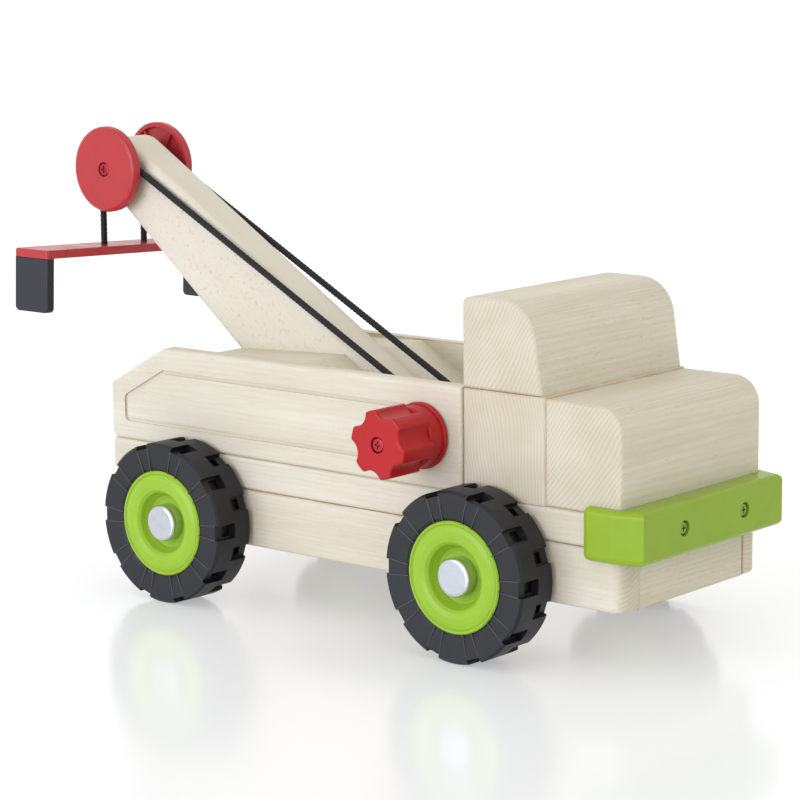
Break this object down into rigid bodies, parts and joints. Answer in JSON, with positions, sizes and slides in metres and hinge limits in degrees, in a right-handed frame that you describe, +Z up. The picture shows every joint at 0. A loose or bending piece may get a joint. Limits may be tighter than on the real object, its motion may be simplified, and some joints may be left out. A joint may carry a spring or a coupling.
{
  "type": "toy crane truck",
  "caption": "Wooden toy truck with a winch crane: a fixed boom over the bed, two cords over pulleys, a lifting bar with rubber feet, four free wheels and a wrap-round bumper.",
  "frame": {"origin": "on the floor, under the middle of the bounding box", "axes": "+X towards the truck's front bumper, +Y towards its left side, +Z up"},
  "size_m": [0.4942, 0.222, 0.2891],
  "materials": {
    "beech": "fine sanded, oiled",
    "red_plastic": "satin moulded",
    "green_plastic": "satin moulded",
    "tyre": "matte rubber",
    "foot_rubber": "matte rubber",
    "black_cord": "braided",
    "cap_chrome": "polished",
    "axle_steel": "drawn",
    "screw_steel": "zinc plated"
  },
  "bodies": {
    "truck": {"chassis_rail_right": "beech", "chassis_rail_left": "beech", "side_panel_right": "beech", "side_panel_left": "beech", "bed_block_right": "beech", "bed_block_left": "beech", "chassis_front_block": "beech", "chassis_rear_block": "beech", "deck_board": "beech", "boom": "beech", "boom_dowels": "beech", "cab_rear_block": "beech", "hood_block": "beech", "cab_roof_block": "beech", "cab_dowels": "beech", "bumper": "green_plastic", "bumper_screws": "screw_steel", "front_axle": "axle_steel", "rear_axle": "axle_steel", "axle_caps": "cap_chrome", "pulley_screws": "screw_steel", "hoist_run_right": "black_cord", "hoist_run_left": "black_cord"},
    "winch": {"winch_shaft": "beech", "winch_knob_right": "red_plastic", "winch_knob_left": "red_plastic", "knob_screws": "screw_steel", "winch_coil_right": "black_cord", "winch_coil_left": "black_cord"},
    "hoist": {"lifting_bar": "red_plastic", "bar_foot_right": "foot_rubber", "bar_foot_left": "foot_rubber", "hoist_knots": "black_cord", "hoist_drop_right": "black_cord", "hoist_drop_left": "black_cord"},
    "pulley_right_turning": {"pulley_right": "red_plastic"},
    "wheel_front_right": {"wheel_hub_front_right": "green_plastic", "tyre_front_right": "tyre"},
    "wheel_rear_right": {"wheel_hub_rear_right": "green_plastic", "tyre_rear_right": "tyre"},
    "pulley_left_turning": {"pulley_left": "red_plastic"},
    "wheel_front_left": {"wheel_hub_front_left": "green_plastic", "tyre_front_left": "tyre"},
    "wheel_rear_left": {"wheel_hub_rear_left": "green_plastic", "tyre_rear_left": "tyre"}
  },
  "joints": [
    {"name": "wheel_front_right_spin", "type": "hinge", "parent": "truck", "child": "wheel_front_right", "pos_m": [0.1355, -0.087, 0.05075], "axis": [0, 1, 0], "continuous": true},
    {"name": "wheel_rear_right_spin", "type": "hinge", "parent": "truck", "child": "wheel_rear_right", "pos_m": [-0.0999, -0.087, 0.05075], "axis": [0, 1, 0], "continuous": true},
    {"name": "wheel_front_left_spin", "type": "hinge", "parent": "truck", "child": "wheel_front_left", "pos_m": [0.1355, 0.087, 0.05075], "axis": [0, 1, 0], "continuous": true},
    {"name": "wheel_rear_left_spin", "type": "hinge", "parent": "truck", "child": "wheel_rear_left", "pos_m": [-0.0999, 0.087, 0.05075], "axis": [0, 1, 0], "continuous": true},
    {"name": "winch_turn", "type": "hinge", "parent": "truck", "child": "winch", "pos_m": [0.0879, 0, 0.124], "axis": [0, 1, 0], "range_deg": [-79.3, 705.2]},
    {"name": "hoist_lift", "type": "slide", "parent": "truck", "child": "hoist", "axis": [0, 0, 1], "range_m": [-0.1601, 0.0181], "deforming": ["hoist_drop_right", "hoist_drop_left"]},
    {"name": "pulley_right_turn", "type": "hinge", "parent": "truck", "child": "pulley_right_turning", "pos_m": [-0.219, -0.0245, 0.2609], "axis": [0, 1, 0], "range_deg": [-840, 97]},
    {"name": "pulley_left_turn", "type": "hinge", "parent": "truck", "child": "pulley_left_turning", "pos_m": [-0.219, 0.0245, 0.2609], "axis": [0, 1, 0], "range_deg": [-840, 97]}
  ],
  "couplings": [
    {"joint": "hoist_lift", "follows": "winch_turn", "m_per_rad": -0.013},
    {"joint": "pulley_right_turn", "follows": "winch_turn", "ratio": -1.1818},
    {"joint": "pulley_left_turn", "follows": "winch_turn", "ratio": -1.1818}
  ]
}
